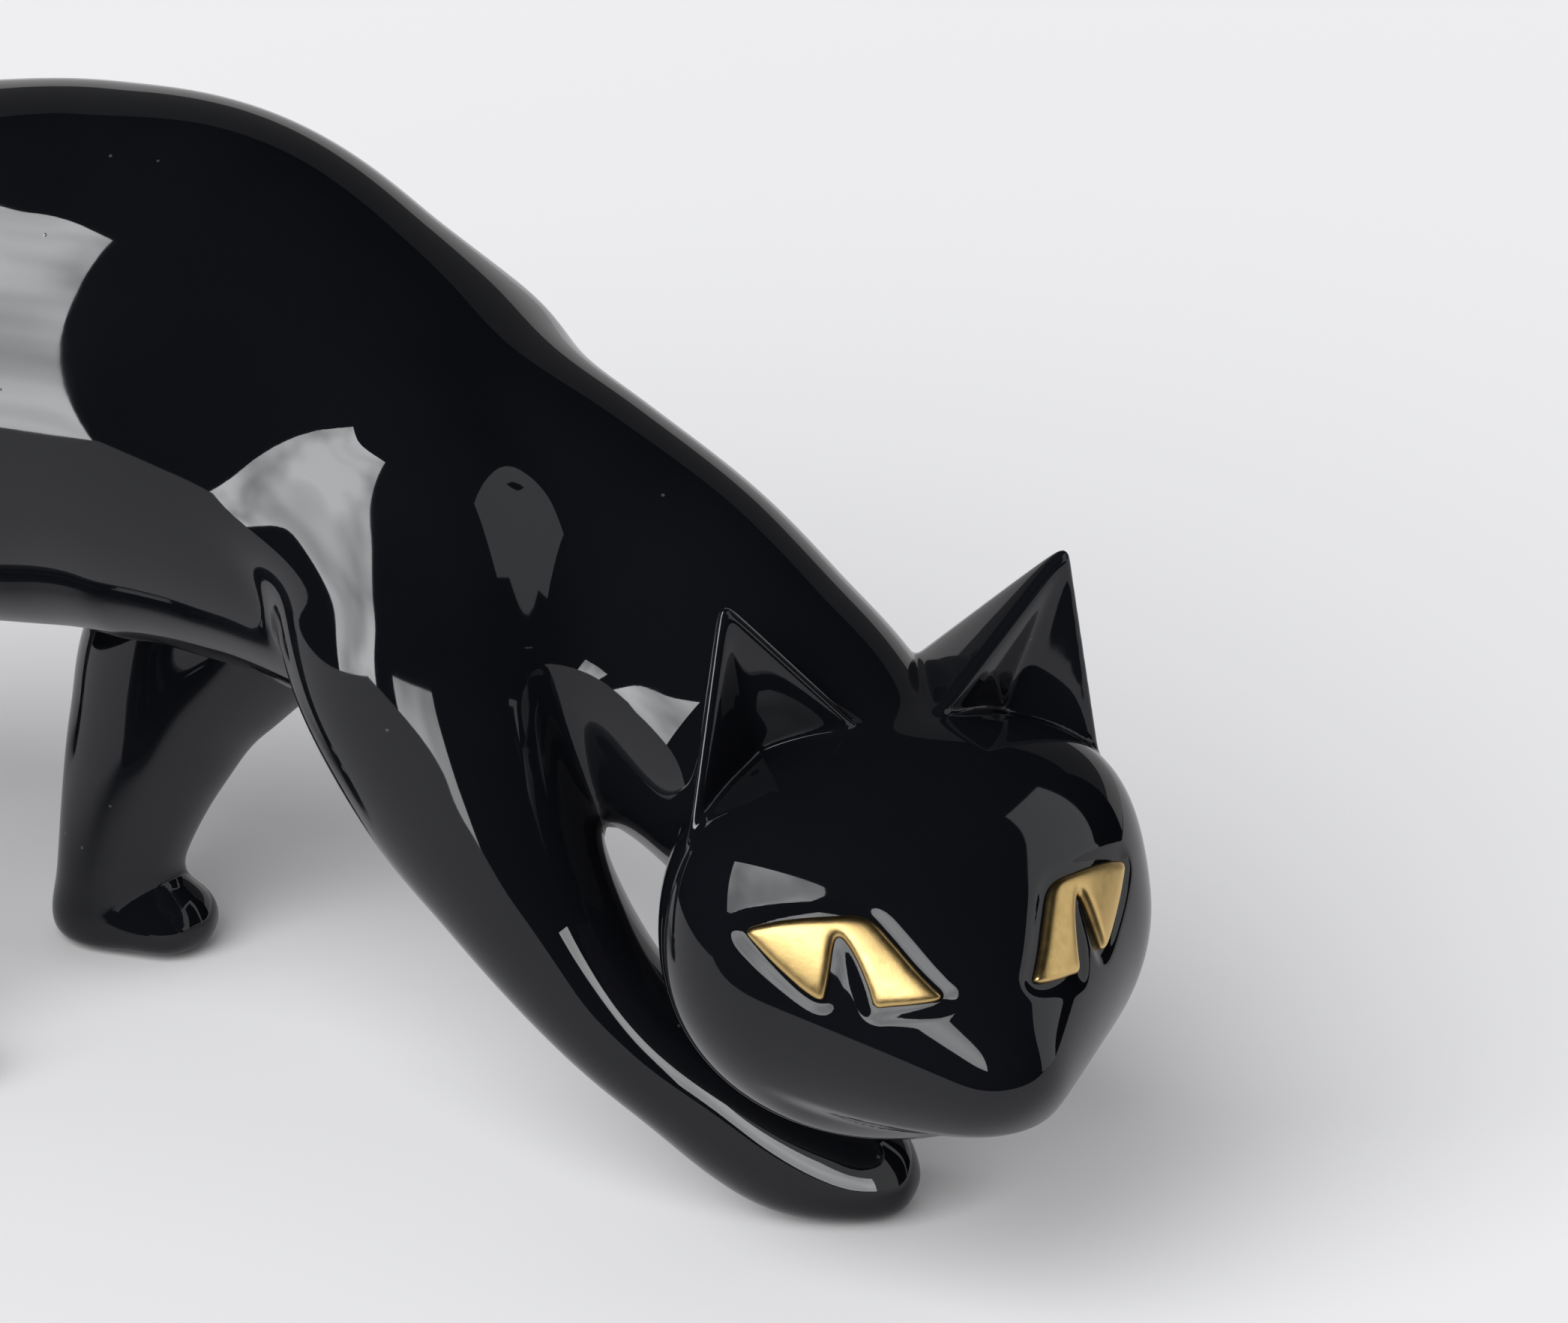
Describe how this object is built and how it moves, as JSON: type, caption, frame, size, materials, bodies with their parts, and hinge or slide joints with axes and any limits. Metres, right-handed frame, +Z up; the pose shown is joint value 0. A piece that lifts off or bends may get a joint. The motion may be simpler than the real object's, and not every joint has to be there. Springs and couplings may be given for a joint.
{
  "type": "ceramic cat figurine",
  "caption": "Glossy black glazed ceramic figurine of a prowling cat with its head lowered and turned, and gold lustre eyes.",
  "frame": {"origin": "on the ground under the middle of the figurine's bounding box", "axes": "+X the way the cat walks, +Y the cat's left, +Z up"},
  "size_m": [0.4846, 0.1158, 0.1814],
  "materials": {
    "black_glaze": "high-gloss black glaze over slip-cast earthenware",
    "gold_lustre": "fired gold lustre, satin-bright"
  },
  "bodies": {
    "root": {"torso_casting": "black_glaze", "head_casting": "black_glaze", "right_ear": "black_glaze", "left_ear": "black_glaze", "right_foreleg_casting": "black_glaze", "left_foreleg_casting": "black_glaze", "right_hindleg_casting": "black_glaze", "left_hindleg_casting": "black_glaze", "tail_casting": "black_glaze", "right_eye_gilding": "gold_lustre", "left_eye_gilding": "gold_lustre"}
  },
  "joints": []
}
